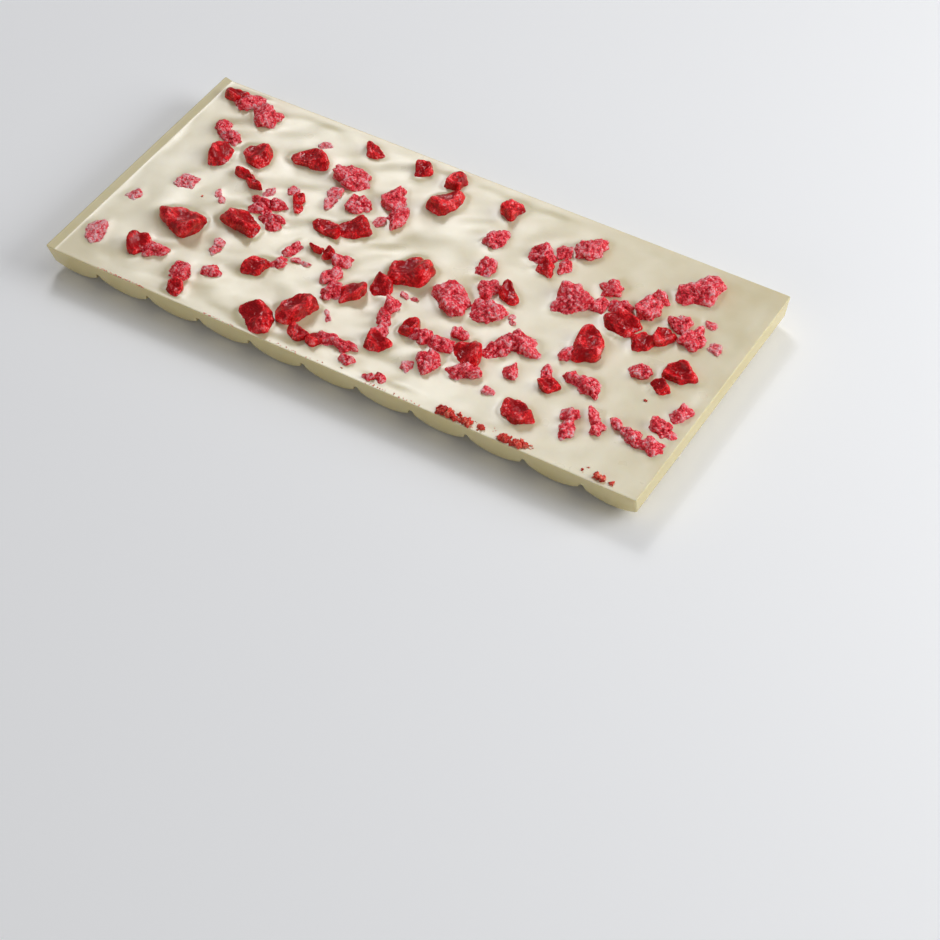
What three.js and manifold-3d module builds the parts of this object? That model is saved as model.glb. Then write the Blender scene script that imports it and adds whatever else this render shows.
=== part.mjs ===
// A bar of white chocolate. Its back is up, strewn with pieces of freeze-dried
// raspberry, and its moulded face, ribbed and with a plain oval plaque, is down.
// Millimetres. X runs along the bar, Y across it and Z up. The origin is under the
// middle of the bar, on the flat face of the plaque that it rests on.

import * as THREE from 'three';
import { mergeVertices } from 'three/addons/utils/BufferGeometryUtils.js';
import Module from 'manifold-3d';

const wasm = await Module();
wasm.setup();

// The moulded bar
const LENGTH = 162;
const WIDTH = 74;
const THICKNESS = 7.9;
const RIDGE_COUNT = 11;
const RIDGE_HEIGHT = 2.1;
const GROOVE_WIDTH = 2;
const GROOVE_TOP_WIDTH = 0.9;
const GROOVE_DEPTH = 1.7;
const ARC_SEGMENTS = 9;
const SIDE_DRAFT = Math.tan(THREE.MathUtils.degToRad(15));
const END_DRAFT = Math.tan(THREE.MathUtils.degToRad(5));

// The rim that the chocolate leaves along the left end, where it climbs the edge of
// its mould
const RIM_HEIGHT = 0.4;
const RIM_TOP_WIDTH = 0.5;
const RIM_FOOT_WIDTH = 2.4;

// The oval plaque in the middle of the moulded face
const PLAQUE_LENGTH = 58;
const PLAQUE_WIDTH = 34;
const PLAQUE_PROUD = 0.5;
const PLAQUE_ROOT = 5;
const PLAQUE_DRAFT = 1.05;
const PLAQUE_SIDES = 64;

const CREST_Z = PLAQUE_PROUD;
const BACK_Z = CREST_Z + THICKNESS;
const BED_Z = BACK_Z - RIM_HEIGHT;

// How each kind of piece breaks: flat cuts round its side and over its top, how
// sharp the edges between them stay, how far its outline waves in and out, and its
// height over the chocolate, which is a base height and a share of its breadth
const CHUNK = { sideCuts: 6, topCuts: 3, sharpness: 7, waviness: 0.03, baseHeight: 1.2, heightShare: 0.4 };
const CRUMBLE = { sideCuts: 7, topCuts: 4, sharpness: 13, waviness: 0.06, baseHeight: 0.8, heightShare: 0.3 };
const FLAKE = { sideCuts: 7, topCuts: 2, sharpness: 14, waviness: 0.05, baseHeight: 0.7, heightShare: 0.08 };

// The cuts stand this far from a piece's middle, in shares of its size, nearer over
// the top so that the top stays flat. Their places round the piece and their leans
// are drawn between these limits, in radians
const SIDE_CUT_DISTANCE = [0.65, 1.0];
const TOP_CUT_DISTANCE = [0.45, 0.7];
const SIDE_CUT_SHIFT = [-0.35, 0.35];
const SIDE_CUT_LEAN = [-0.2, 0.55];
const TOP_CUT_LEAN = [0.75, 1.45];

// How many waves there are round a piece's outline, one set over the other
const OUTLINE_WAVES = [3, 5];

// The runs below were sized at the crowns of their pieces. The feet spread wider
// than the crowns by this factor, and stand this far over
const FOOT_SPREAD = 1.06;
const FOOT_SHIFT = [-0.1, 0.2];

// A run is one piece where it is short for its breadth. Pieces laid in one run
// overlap a little and don't line up quite
const SHORT_RUN = 0.2;
const RUN_OVERLAP = 1.3;
const RUN_SHIFT = [-0.15, 0.15];
const RUN_TURN = [-0.45, 0.45];
const RUN_BREADTH = [0.85, 1.1];

// A piece is sunk in the chocolate, its widest outline just under the surface, and
// narrows from there down
const SEAT_DEPTH = 1.1;
const SEAT_TAPER = 0.35;
const SINK = 0.2;

// Facets round a piece and from its foot to its top
const FINE_LENGTH = 7.5;
const FINE_FACETS = [11, 6];
const COARSE_FACETS = [8, 4];

// The fixed series of numbers that the cuts are drawn from
const SEED = 4127;
const SERIES_FACTOR = 16807;
const SERIES_MODULUS = 2147483647;

// Points nearer than this are one point
const SAME_POINT = 1e-4;

// Where the raspberry lies. Each row is one run of pieces: the place of its middle,
// its heading in degrees, and its length and breadth
const CHUNK_RUNS = [
  [-74, 32, 15, 6.5, 4.5], [-63.5, 11.5, -70, 9, 6], [-55.3, 15.6, -35, 9, 7.2], [-52, 7, -18, 8.5, 3.6],
  [-57.5, -12.8, -25, 12, 9], [-61.5, -25.8, -80, 7, 5.5], [-43.5, 20.8, 10, 10.5, 6.5],
  [-31, 31, -10, 6, 4],
  [-36.5, 6, -55, 5.5, 3], [-44.3, -6.5, -18, 12, 7.5], [-32.5, -18, 50, 7.5, 5.5],
  [-45, -33.5, -20, 5.5, 4.5],
  [-16.5, 31, 90, 6, 5], [-7.5, 31.5, 60, 6.5, 5.5], [-5.6, 24, 80, 9.5, 7.6], [-20, 4.5, 20, 10, 6.5],
  [-25.5, 2, -15, 8, 5], [-22, -5.5, 0, 6, 3.5], [-8, -14.3, 80, 7.6, 5.8], [0.6, -1.3, 40, 11, 10.2],
  [-3, -9, -30, 6.5, 5.5], [-16.5, -25.5, 75, 9.8, 7.6], [-22.5, -32, -10, 10, 7.5],
  [-8.5, -31.5, 18, 8.5, 4.5],
  [10, 29.5, 80, 6.5, 5.5], [24, 4, -50, 7, 4.5], [10.5, -17.5, 70, 5.5, 4.5], [26, -17.5, -60, 8.5, 6.5],
  [6.5, -25, 10, 6.5, 5], [27.5, 16, -20, 5.5, 5], [52, 8, 10, 9.5, 6.5], [48.8, -1.8, -65, 9.5, 7.4],
  [60.5, 7.5, 65, 9.5, 5.5], [71.5, 1, 15, 8.5, 5.5], [69, -4.5, -20, 5.5, 4.5], [45.5, -28, -12, 9, 6],
  [47.5, -17, 20, 5.5, 4.5],
];
const CRUMBLE_RUNS = [
  [-66, 30, -12, 13.5, 6.5], [-67, 19, -38, 9, 4.5], [-57.5, -25, 20, 7.5, 5.2], [-29.5, 20, -25, 9.5, 7.6],
  [-42.8, 2.5, 6, 8.5, 3.6], [-41.2, -0.8, -8, 9.5, 4], [-38.8, -3.8, -15, 6.5, 3.2], [-29, -8, 85, 6, 4],
  [-28.5, -14, 80, 5, 3.5], [-41, -24.5, 35, 5, 4], [-47.5, -28.5, -60, 6.5, 5.5],
  [-14.8, 16.6, -50, 13, 5.6],
  [-23, 12, 20, 6.5, 5], [-16, -6, 30, 5.5, 4.5], [-13.8, -13.6, -58, 10, 4.6], [-2, -29.5, -3, 9.5, 4],
  [12, 19, 65, 7, 5], [15, 9, 95, 6.5, 4.5], [19, 3, 80, 7, 5], [13.5, -4, -25, 11, 8],
  [23, -4, 0, 8.5, 7], [4, -17.5, -72, 13, 4.5], [17, -18, -5, 9.5, 5], [20, -24.5, -60, 6.5, 5.5],
  [21.5, -13, -45, 5, 4], [28, -22.5, 15, 9, 5.5], [31.5, -12.5, 75, 8.5, 5.5], [3.5, -33, 20, 4, 3],
  [11.8, -34.8, 10, 5, 2.6], [24.3, 19, -20, 7.4, 6], [29.5, 21, -70, 8.5, 4], [33, 27, 70, 9, 7],
  [38.5, 9, 0, 9, 9], [44, 17.5, 60, 6.5, 5.5], [44.5, 11.5, 80, 6, 4], [49, 13, 20, 6, 5],
  [55, 16, -70, 7, 6], [55.5, 20.5, 10, 5, 4.5], [46, -5.5, 80, 5.5, 4], [36, -9, -12, 9.5, 6],
  [37.5, -17.5, -60, 5, 3.5], [45, -14, -50, 5, 3], [51, -12, -10, 5, 4.5], [56, -13, -35, 6.5, 5],
  [57.4, -24.6, -72, 8, 4.4], [62, -21.5, -40, 7, 3.5], [63, 26.6, 60, 12, 8], [64, 15.5, -30, 6, 5.5],
  [68.5, 12.5, 70, 7.5, 6], [63, -3, 0, 5.5, 4], [77, -10, 60, 6, 4], [76.5, -16, -20, 7, 5],
  [74.3, -22, 0, 9, 5], [68, -20, -15, 7, 3],
];
const FLAKE_RUNS = [
  [-65.3, -1, 45, 6.5, 6], [-55, -1.5, -50, 5, 2], [-74, -11.5, 60, 5, 4], [-73.5, -27, -60, 8, 5.5],
  [-30.5, 11.5, -75, 7, 3.5], [-40.5, 9, 0, 3.5, 3], [-45.5, 5.5, 20, 3.5, 3], [-45, -16.5, -75, 5.5, 3],
  [-24.5, -11, 10, 4.5, 2], [-16, 10, 80, 4, 3], [4.5, -8.5, 5, 4.5, 2], [-8.5, -23, -60, 3.5, 2],
  [29, -2.5, -60, 3.5, 2], [16.5, -27.5, 50, 4, 3], [36, -25, -40, 3.5, 3], [69.5, 19, -50, 4, 3],
  [74, 12.3, -25, 4.5, 3], [-43, 27, 35, 4, 2.5],
];

const CHOCOLATE = new THREE.MeshStandardMaterial({ color: 0xdccfae, roughness: 0.35, metalness: 0 });

let seed = SEED;

// A number from 0 to 1, the next of a fixed series
function draw() {
  seed = (seed * SERIES_FACTOR) % SERIES_MODULUS;
  return seed / SERIES_MODULUS;
}

function between([low, high]) {
  return low + (high - low) * draw();
}

// A closed geometry as a solid that can be joined and cut
function toSolid(geometry) {
  const bare = geometry.clone();
  bare.deleteAttribute('normal');
  bare.deleteAttribute('uv');
  const merged = mergeVertices(bare, SAME_POINT);
  const mesh = new wasm.Mesh({
    numProp: 3,
    vertProperties: new Float32Array(merged.attributes.position.array),
    triVerts: new Uint32Array(merged.index.array),
  });
  return new wasm.Manifold(mesh);
}

function toGeometry(solid) {
  const mesh = solid.getMesh();
  const geometry = new THREE.BufferGeometry();
  geometry.setAttribute('position', new THREE.BufferAttribute(mesh.vertProperties, 3));
  geometry.setIndex(new THREE.BufferAttribute(mesh.triVerts, 1));
  geometry.computeVertexNormals();
  return geometry;
}

// Moves every point of a geometry by a function that changes a Vector3
function reshape(geometry, move) {
  const position = geometry.attributes.position;
  const point = new THREE.Vector3();
  for (let i = 0; i < position.count; i += 1) {
    point.fromBufferAttribute(position, i);
    move(point);
    position.setXYZ(i, point.x, point.y, point.z);
  }
  return geometry;
}

// The bar's long section: flat back, square ends, and round ridges parted by grooves
function ridgeSection() {
  const pitch = (LENGTH + GROOVE_WIDTH) / RIDGE_COUNT;
  const halfChord = (pitch - GROOVE_WIDTH) / 2;
  const radius = (halfChord ** 2 + RIDGE_HEIGHT ** 2) / (2 * RIDGE_HEIGHT);
  const halfAngle = Math.asin(halfChord / radius);
  const footZ = CREST_Z + RIDGE_HEIGHT;
  const section = new THREE.Shape();
  section.moveTo(LENGTH / 2, BACK_Z);
  section.lineTo(-LENGTH / 2, BACK_Z);
  for (let ridge = 0; ridge < RIDGE_COUNT; ridge += 1) {
    const middle = -LENGTH / 2 + ridge * pitch + halfChord;
    for (let step = 0; step <= ARC_SEGMENTS; step += 1) {
      const angle = halfAngle * ((2 * step) / ARC_SEGMENTS - 1);
      section.lineTo(middle + radius * Math.sin(angle), CREST_Z + radius * (1 - Math.cos(angle)));
    }
    if (ridge < RIDGE_COUNT - 1) {
      const grooveMiddle = middle + halfChord + GROOVE_WIDTH / 2;
      section.lineTo(grooveMiddle - GROOVE_TOP_WIDTH / 2, footZ + GROOVE_DEPTH);
      section.lineTo(grooveMiddle + GROOVE_TOP_WIDTH / 2, footZ + GROOVE_DEPTH);
    }
  }
  section.closePath();
  return section;
}

// The ribbed bar, narrower towards its moulded face so that it leaves the mould
function ribbedBlock() {
  const block = new THREE.ExtrudeGeometry(ridgeSection(), { depth: WIDTH, bevelEnabled: false });
  block.rotateX(Math.PI / 2);
  block.translate(0, WIDTH / 2, 0);
  reshape(block, (point) => {
    const drop = BACK_Z - point.z;
    point.x *= 1 - (END_DRAFT * drop) / (LENGTH / 2);
    point.y *= 1 - (SIDE_DRAFT * drop) / (WIDTH / 2);
  });
  return toSolid(block);
}

// What is taken from the flat back to leave the rim: a shallow tray, sloping up to the
// rim at the left end and open on the other three sides
function sunkenBed() {
  const tray = new THREE.BoxGeometry(LENGTH, WIDTH, 2 * RIM_HEIGHT);
  const slopeWidth = RIM_FOOT_WIDTH - RIM_TOP_WIDTH;
  reshape(tray, (point) => {
    const inset = point.z < 0 ? RIM_FOOT_WIDTH : RIM_TOP_WIDTH - slopeWidth;
    point.x += point.x < 0 ? inset : RIM_FOOT_WIDTH;
    point.y += Math.sign(point.y) * RIM_FOOT_WIDTH;
    point.z += BACK_Z;
  });
  return toSolid(tray);
}

// The oval plaque, from its flat face up into the bar
function plaque() {
  const oval = new THREE.CylinderGeometry(PLAQUE_DRAFT, 1, PLAQUE_ROOT, PLAQUE_SIDES);
  oval.rotateX(Math.PI / 2);
  oval.scale(PLAQUE_LENGTH / 2, PLAQUE_WIDTH / 2, 1);
  oval.translate(0, 0, PLAQUE_ROOT / 2);
  return toSolid(oval);
}

// One flat cut: the unit normal that it faces along, and its distance
function drawCut(turn, lean, limits) {
  const level = Math.cos(lean);
  const normal = new THREE.Vector3(Math.cos(turn) * level, Math.sin(turn) * level, Math.sin(lean));
  return { normal, distance: between(limits) };
}

// The flat cuts that bound a broken piece, and one level cut below
function drawCuts(kind) {
  const cuts = [{ normal: new THREE.Vector3(0, 0, -1), distance: 1 }];
  for (let i = 0; i < kind.sideCuts; i += 1) {
    const turn = ((i + between(SIDE_CUT_SHIFT)) * 2 * Math.PI) / kind.sideCuts;
    cuts.push(drawCut(turn, between(SIDE_CUT_LEAN), SIDE_CUT_DISTANCE));
  }
  for (let i = 0; i < kind.topCuts; i += 1) {
    cuts.push(drawCut(draw() * 2 * Math.PI, between(TOP_CUT_LEAN), TOP_CUT_DISTANCE));
  }
  return cuts;
}

// How far a piece reaches in one direction: the nearest cut, with its edges worn
// round, in or out by the waves of its outline
function reachTo(direction, cuts, phases, kind) {
  let sum = 0;
  for (const cut of cuts) {
    sum += Math.max(0, cut.normal.dot(direction) / cut.distance) ** kind.sharpness;
  }
  const azimuth = Math.atan2(direction.y, direction.x);
  const level = Math.hypot(direction.x, direction.y);
  let wave = 0;
  phases.forEach((phase, i) => {
    wave += Math.cos(OUTLINE_WAVES[i] * azimuth + phase);
  });
  return sum ** (-1 / kind.sharpness) * (1 + kind.waviness * level * wave);
}

// One broken piece of raspberry, its lower part sunk in the chocolate
function brokenPiece(kind, x, y, heading, length, breadth) {
  const cuts = drawCuts(kind);
  const phases = OUTLINE_WAVES.map(() => draw() * 2 * Math.PI);
  const crown = new THREE.Box3();
  const facets = length >= FINE_LENGTH ? FINE_FACETS : COARSE_FACETS;
  const lump = new THREE.SphereGeometry(1, ...facets);
  lump.rotateX(Math.PI / 2);
  reshape(lump, (point) => {
    point.normalize();
    point.multiplyScalar(reachTo(point, cuts, phases, kind));
    if (point.z > -SAME_POINT) {
      crown.expandByPoint(point);
    } else {
      const narrowing = 1 + SEAT_TAPER * point.z;
      point.x *= narrowing;
      point.y *= narrowing;
    }
  });
  const { min, max } = crown;
  const height = kind.baseHeight + kind.heightShare * breadth + SINK;
  reshape(lump, (point) => {
    point.x = ((point.x - min.x) / (max.x - min.x) - 0.5) * length;
    point.y = ((point.y - min.y) / (max.y - min.y) - 0.5) * breadth;
    point.z *= point.z > 0 ? height / max.z : SEAT_DEPTH;
  });
  lump.rotateZ(heading);
  lump.translate(x, y, BED_Z - SINK);
  return toSolid(lump);
}

// The pieces of one run, end to end along its heading: one where it is short and broad
function piecesOfRun(kind, [crownX, crownY, degrees, crownReach, crownBreadth]) {
  const x = crownX + FOOT_SHIFT[0];
  const y = crownY + FOOT_SHIFT[1];
  const reach = crownReach * FOOT_SPREAD;
  const breadth = crownBreadth * FOOT_SPREAD;
  const heading = THREE.MathUtils.degToRad(degrees);
  const count = Math.max(1, Math.round(reach / breadth - SHORT_RUN));
  if (count === 1) {
    return [brokenPiece(kind, x, y, heading, reach, breadth)];
  }
  const pieces = [];
  for (let i = 0; i < count; i += 1) {
    const along = reach * ((i + 0.5) / count - 0.5);
    const aside = between(RUN_SHIFT) * breadth;
    const placeX = x + along * Math.cos(heading) - aside * Math.sin(heading);
    const placeY = y + along * Math.sin(heading) + aside * Math.cos(heading);
    const turned = heading + between(RUN_TURN);
    const ownBreadth = breadth * between(RUN_BREADTH);
    pieces.push(brokenPiece(kind, placeX, placeY, turned, (reach / count) * RUN_OVERLAP, ownBreadth));
  }
  return pieces;
}

let solid = ribbedBlock().subtract(sunkenBed()).add(plaque());
for (const [kind, runs] of [[CHUNK, CHUNK_RUNS], [CRUMBLE, CRUMBLE_RUNS], [FLAKE, FLAKE_RUNS]]) {
  for (const run of runs) {
    for (const piece of piecesOfRun(kind, run)) {
      solid = solid.add(piece);
    }
  }
}

const bar = new THREE.Mesh(toGeometry(solid), CHOCOLATE);
bar.name = 'bar';

const chocolateBar = new THREE.Group();
chocolateBar.add(bar);

export default chocolateBar;
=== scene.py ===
"""A bar of white chocolate, its back strewn with pieces of freeze-dried raspberry.

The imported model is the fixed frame. Sizes here are in millimetres in the frame's own
axes (X along the bar, Y across it, Z up) and become metres where a mesh is made.
"""

import functools
import logging
import math
from dataclasses import dataclass, field
from enum import Enum
from typing import ClassVar

import bmesh
import bpy
import numpy as np
from mathutils import Matrix, Vector, noise


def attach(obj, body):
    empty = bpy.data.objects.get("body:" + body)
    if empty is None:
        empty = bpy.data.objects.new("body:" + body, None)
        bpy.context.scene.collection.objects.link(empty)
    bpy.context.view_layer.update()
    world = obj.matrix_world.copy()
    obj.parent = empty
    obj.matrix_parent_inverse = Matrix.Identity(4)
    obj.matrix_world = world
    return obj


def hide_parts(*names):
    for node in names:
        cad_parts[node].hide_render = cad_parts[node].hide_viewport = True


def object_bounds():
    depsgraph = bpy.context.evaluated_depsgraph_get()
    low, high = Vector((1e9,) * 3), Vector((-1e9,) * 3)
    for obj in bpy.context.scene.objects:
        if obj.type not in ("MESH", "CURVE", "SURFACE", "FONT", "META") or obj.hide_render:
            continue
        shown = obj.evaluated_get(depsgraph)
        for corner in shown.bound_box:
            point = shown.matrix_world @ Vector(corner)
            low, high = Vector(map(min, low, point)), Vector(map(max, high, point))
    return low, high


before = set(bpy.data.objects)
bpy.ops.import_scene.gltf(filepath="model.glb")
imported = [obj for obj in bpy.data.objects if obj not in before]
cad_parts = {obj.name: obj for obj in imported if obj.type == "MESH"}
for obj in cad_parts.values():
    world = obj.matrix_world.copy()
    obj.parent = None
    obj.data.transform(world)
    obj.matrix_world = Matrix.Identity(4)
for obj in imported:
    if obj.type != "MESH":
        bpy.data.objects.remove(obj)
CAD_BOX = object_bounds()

LOG = logging.getLogger("chocolate_bar")
MM = 0.001
BODY = "root"
BAR_NODE = "bar"
BALL_BIAS = 0.35
TINY = 1e-6


class Series:
    """A fixed series of numbers from 0 to 1, the same one that broke the solid's pieces."""

    MODULUS = 2147483647
    FACTOR = 16807

    def __init__(self, seed: int) -> None:
        """Starts the series.

        Args:
            seed: Any whole number between 1 and the modulus.
        """
        self.state = seed

    def draw(self) -> float:
        """Returns the next number of the series."""
        self.state = self.state * self.FACTOR % self.MODULUS
        return self.state / self.MODULUS

    def between(self, low: float, high: float) -> float:
        """Draws a number between two limits.

        Args:
            low: The lower limit.
            high: The upper limit.

        Returns:
            A number from low to high.
        """
        return low + (high - low) * self.draw()


@dataclass(frozen=True)
class Breakage:
    """How one kind of raspberry piece breaks, and how its surface looks close up."""

    side_cuts: int
    top_cuts: int
    sharpness: float
    waviness: float
    base_height: float
    height_share: float
    lump_size: float
    lump_depth: float
    grain_size: float
    grain_depth: float
    tear_size: float
    tear_depth: float
    frost: float


class Kind(Enum):
    """The kinds of raspberry piece on the bar."""

    CHUNK = Breakage(
        side_cuts=6, top_cuts=3, sharpness=7, waviness=0.03, base_height=1.2, height_share=0.4,
        lump_size=2.5, lump_depth=0.34, grain_size=0.5, grain_depth=0.26,
        tear_size=2.2, tear_depth=0.38, frost=0.1,
    )
    CRUMBLE = Breakage(
        side_cuts=7, top_cuts=4, sharpness=13, waviness=0.06, base_height=0.8, height_share=0.3,
        lump_size=1.5, lump_depth=0.45, grain_size=0.62, grain_depth=0.32,
        tear_size=1.7, tear_depth=0.6, frost=0.38,
    )
    FLAKE = Breakage(
        side_cuts=7, top_cuts=2, sharpness=14, waviness=0.05, base_height=0.7, height_share=0.08,
        lump_size=1.2, lump_depth=0.25, grain_size=0.6, grain_depth=0.26,
        tear_size=1.3, tear_depth=0.45, frost=0.55,
    )


# Where the raspberry lies. Each row is one run of pieces: the place of its middle,
# its heading in degrees, and its length and breadth
CHUNK_RUNS = (
    (-74, 32, 15, 6.5, 4.5), (-63.5, 11.5, -70, 9, 6), (-55.3, 15.6, -35, 9, 7.2),
    (-52, 7, -18, 8.5, 3.6), (-57.5, -12.8, -25, 12, 9), (-61.5, -25.8, -80, 7, 5.5),
    (-43.5, 20.8, 10, 10.5, 6.5), (-31, 31, -10, 6, 4), (-36.5, 6, -55, 5.5, 3),
    (-44.3, -6.5, -18, 12, 7.5), (-32.5, -18, 50, 7.5, 5.5), (-45, -33.5, -20, 5.5, 4.5),
    (-16.5, 31, 90, 6, 5), (-7.5, 31.5, 60, 6.5, 5.5), (-5.6, 24, 80, 9.5, 7.6), (-20, 4.5, 20, 10, 6.5),
    (-25.5, 2, -15, 8, 5), (-22, -5.5, 0, 6, 3.5), (-8, -14.3, 80, 7.6, 5.8), (0.6, -1.3, 40, 11, 10.2),
    (-3, -9, -30, 6.5, 5.5), (-16.5, -25.5, 75, 9.8, 7.6), (-22.5, -32, -10, 10, 7.5),
    (-8.5, -31.5, 18, 8.5, 4.5), (10, 29.5, 80, 6.5, 5.5), (24, 4, -50, 7, 4.5),
    (10.5, -17.5, 70, 5.5, 4.5), (26, -17.5, -60, 8.5, 6.5), (6.5, -25, 10, 6.5, 5),
    (27.5, 16, -20, 5.5, 5), (52, 8, 10, 9.5, 6.5), (48.8, -1.8, -65, 9.5, 7.4),
    (60.5, 7.5, 65, 9.5, 5.5), (71.5, 1, 15, 8.5, 5.5), (69, -4.5, -20, 5.5, 4.5), (45.5, -28, -12, 9, 6),
    (47.5, -17, 20, 5.5, 4.5),
)
CRUMBLE_RUNS = (
    (-66, 30, -12, 13.5, 6.5), (-67, 19, -38, 9, 4.5), (-57.5, -25, 20, 7.5, 5.2),
    (-29.5, 20, -25, 9.5, 7.6), (-42.8, 2.5, 6, 8.5, 3.6), (-41.2, -0.8, -8, 9.5, 4),
    (-38.8, -3.8, -15, 6.5, 3.2), (-29, -8, 85, 6, 4), (-28.5, -14, 80, 5, 3.5), (-41, -24.5, 35, 5, 4),
    (-47.5, -28.5, -60, 6.5, 5.5), (-14.8, 16.6, -50, 13, 5.6), (-23, 12, 20, 6.5, 5),
    (-16, -6, 30, 5.5, 4.5), (-13.8, -13.6, -58, 10, 4.6), (-2, -29.5, -3, 9.5, 4), (12, 19, 65, 7, 5),
    (15, 9, 95, 6.5, 4.5), (19, 3, 80, 7, 5), (13.5, -4, -25, 11, 8), (23, -4, 0, 8.5, 7),
    (4, -17.5, -72, 13, 4.5), (17, -18, -5, 9.5, 5), (20, -24.5, -60, 6.5, 5.5), (21.5, -13, -45, 5, 4),
    (28, -22.5, 15, 9, 5.5), (31.5, -12.5, 75, 8.5, 5.5), (3.5, -33, 20, 4, 3), (11.8, -34.8, 10, 5, 2.6),
    (24.3, 19, -20, 7.4, 6), (29.5, 21, -70, 8.5, 4), (33, 27, 70, 9, 7), (38.5, 9, 0, 9, 9),
    (44, 17.5, 60, 6.5, 5.5), (44.5, 11.5, 80, 6, 4), (49, 13, 20, 6, 5), (55, 16, -70, 7, 6),
    (55.5, 20.5, 10, 5, 4.5), (46, -5.5, 80, 5.5, 4), (36, -9, -12, 9.5, 6), (37.5, -17.5, -60, 5, 3.5),
    (45, -14, -50, 5, 3), (51, -12, -10, 5, 4.5), (56, -13, -35, 6.5, 5), (57.4, -24.6, -72, 8, 4.4),
    (62, -21.5, -40, 7, 3.5), (63, 26.6, 60, 12, 8), (64, 15.5, -30, 6, 5.5), (68.5, 12.5, 70, 7.5, 6),
    (63, -3, 0, 5.5, 4), (77, -10, 60, 6, 4), (76.5, -16, -20, 7, 5), (74.3, -22, 0, 9, 5),
    (68, -20, -15, 7, 3),
)
FLAKE_RUNS = (
    (-65.3, -1, 45, 6.5, 6), (-55, -1.5, -50, 5, 2), (-74, -11.5, 60, 5, 4), (-73.5, -27, -60, 8, 5.5),
    (-30.5, 11.5, -75, 7, 3.5), (-40.5, 9, 0, 3.5, 3), (-45.5, 5.5, 20, 3.5, 3),
    (-45, -16.5, -75, 5.5, 3), (-24.5, -11, 10, 4.5, 2), (-16, 10, 80, 4, 3), (4.5, -8.5, 5, 4.5, 2),
    (-8.5, -23, -60, 3.5, 2), (29, -2.5, -60, 3.5, 2), (16.5, -27.5, 50, 4, 3), (36, -25, -40, 3.5, 3),
    (69.5, 19, -50, 4, 3), (74, 12.3, -25, 4.5, 3), (-43, 27, 35, 4, 2.5),
)


def make_object(
    name: str, vertices: np.ndarray, faces: list, material: bpy.types.Material
) -> bpy.types.Object:
    """Makes a mesh object in the scene.

    Args:
        name: The piece's name.
        vertices: One row for each vertex, in millimetres.
        faces: The vertex numbers of each face.
        material: What the piece is made of.

    Returns:
        The new object.
    """
    mesh = bpy.data.meshes.new(name)
    mesh.from_pydata((np.asarray(vertices) * MM).tolist(), [], faces)
    mesh.validate()
    mesh.materials.append(material)
    piece = bpy.data.objects.new(name, mesh)
    bpy.context.scene.collection.objects.link(piece)
    return piece


@functools.cache
def unit_ball(count: int) -> tuple[np.ndarray, list]:
    """Makes a ball of even triangles, which lie a little closer over its top.

    Args:
        count: How many points it has.

    Returns:
        The vertices as unit vectors, and the faces.
    """
    turns = np.arange(count) * math.pi * (3 - math.sqrt(5))
    heights = 1 - (2 * np.arange(count) + 1) / count
    level = np.sqrt(1 - heights**2)
    spiral = np.column_stack([np.cos(turns) * level, np.sin(turns) * level, heights + BALL_BIAS])
    spiral /= np.linalg.norm(spiral, axis=1, keepdims=True)
    ball = bmesh.new()
    for point in spiral:
        ball.verts.new(point)
    bmesh.ops.convex_hull(ball, input=ball.verts[:])
    bmesh.ops.recalc_face_normals(ball, faces=ball.faces[:])
    ball.verts.index_update()
    points = np.array([v.co[:] for v in ball.verts])
    faces = [[v.index for v in f.verts] for f in ball.faces]
    ball.free()
    return points, faces


def smooth_step(value: np.ndarray) -> np.ndarray:
    """Eases values between 0 and 1.

    Args:
        value: Any numbers.

    Returns:
        The numbers, held between 0 and 1, with a level start and end.
    """
    held = np.clip(value, 0.0, 1.0)
    return held * held * (3.0 - 2.0 * held)


def edge_drop(distance: np.ndarray, radius: float) -> np.ndarray:
    """How far a rounded edge falls away.

    Args:
        distance: The distance in from the edge.
        radius: The rounding's radius.

    Returns:
        The drop below the flat, zero from the radius inwards.
    """
    short = np.clip(radius - distance, 0.0, radius)
    return radius - np.sqrt(radius**2 - short**2)


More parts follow.
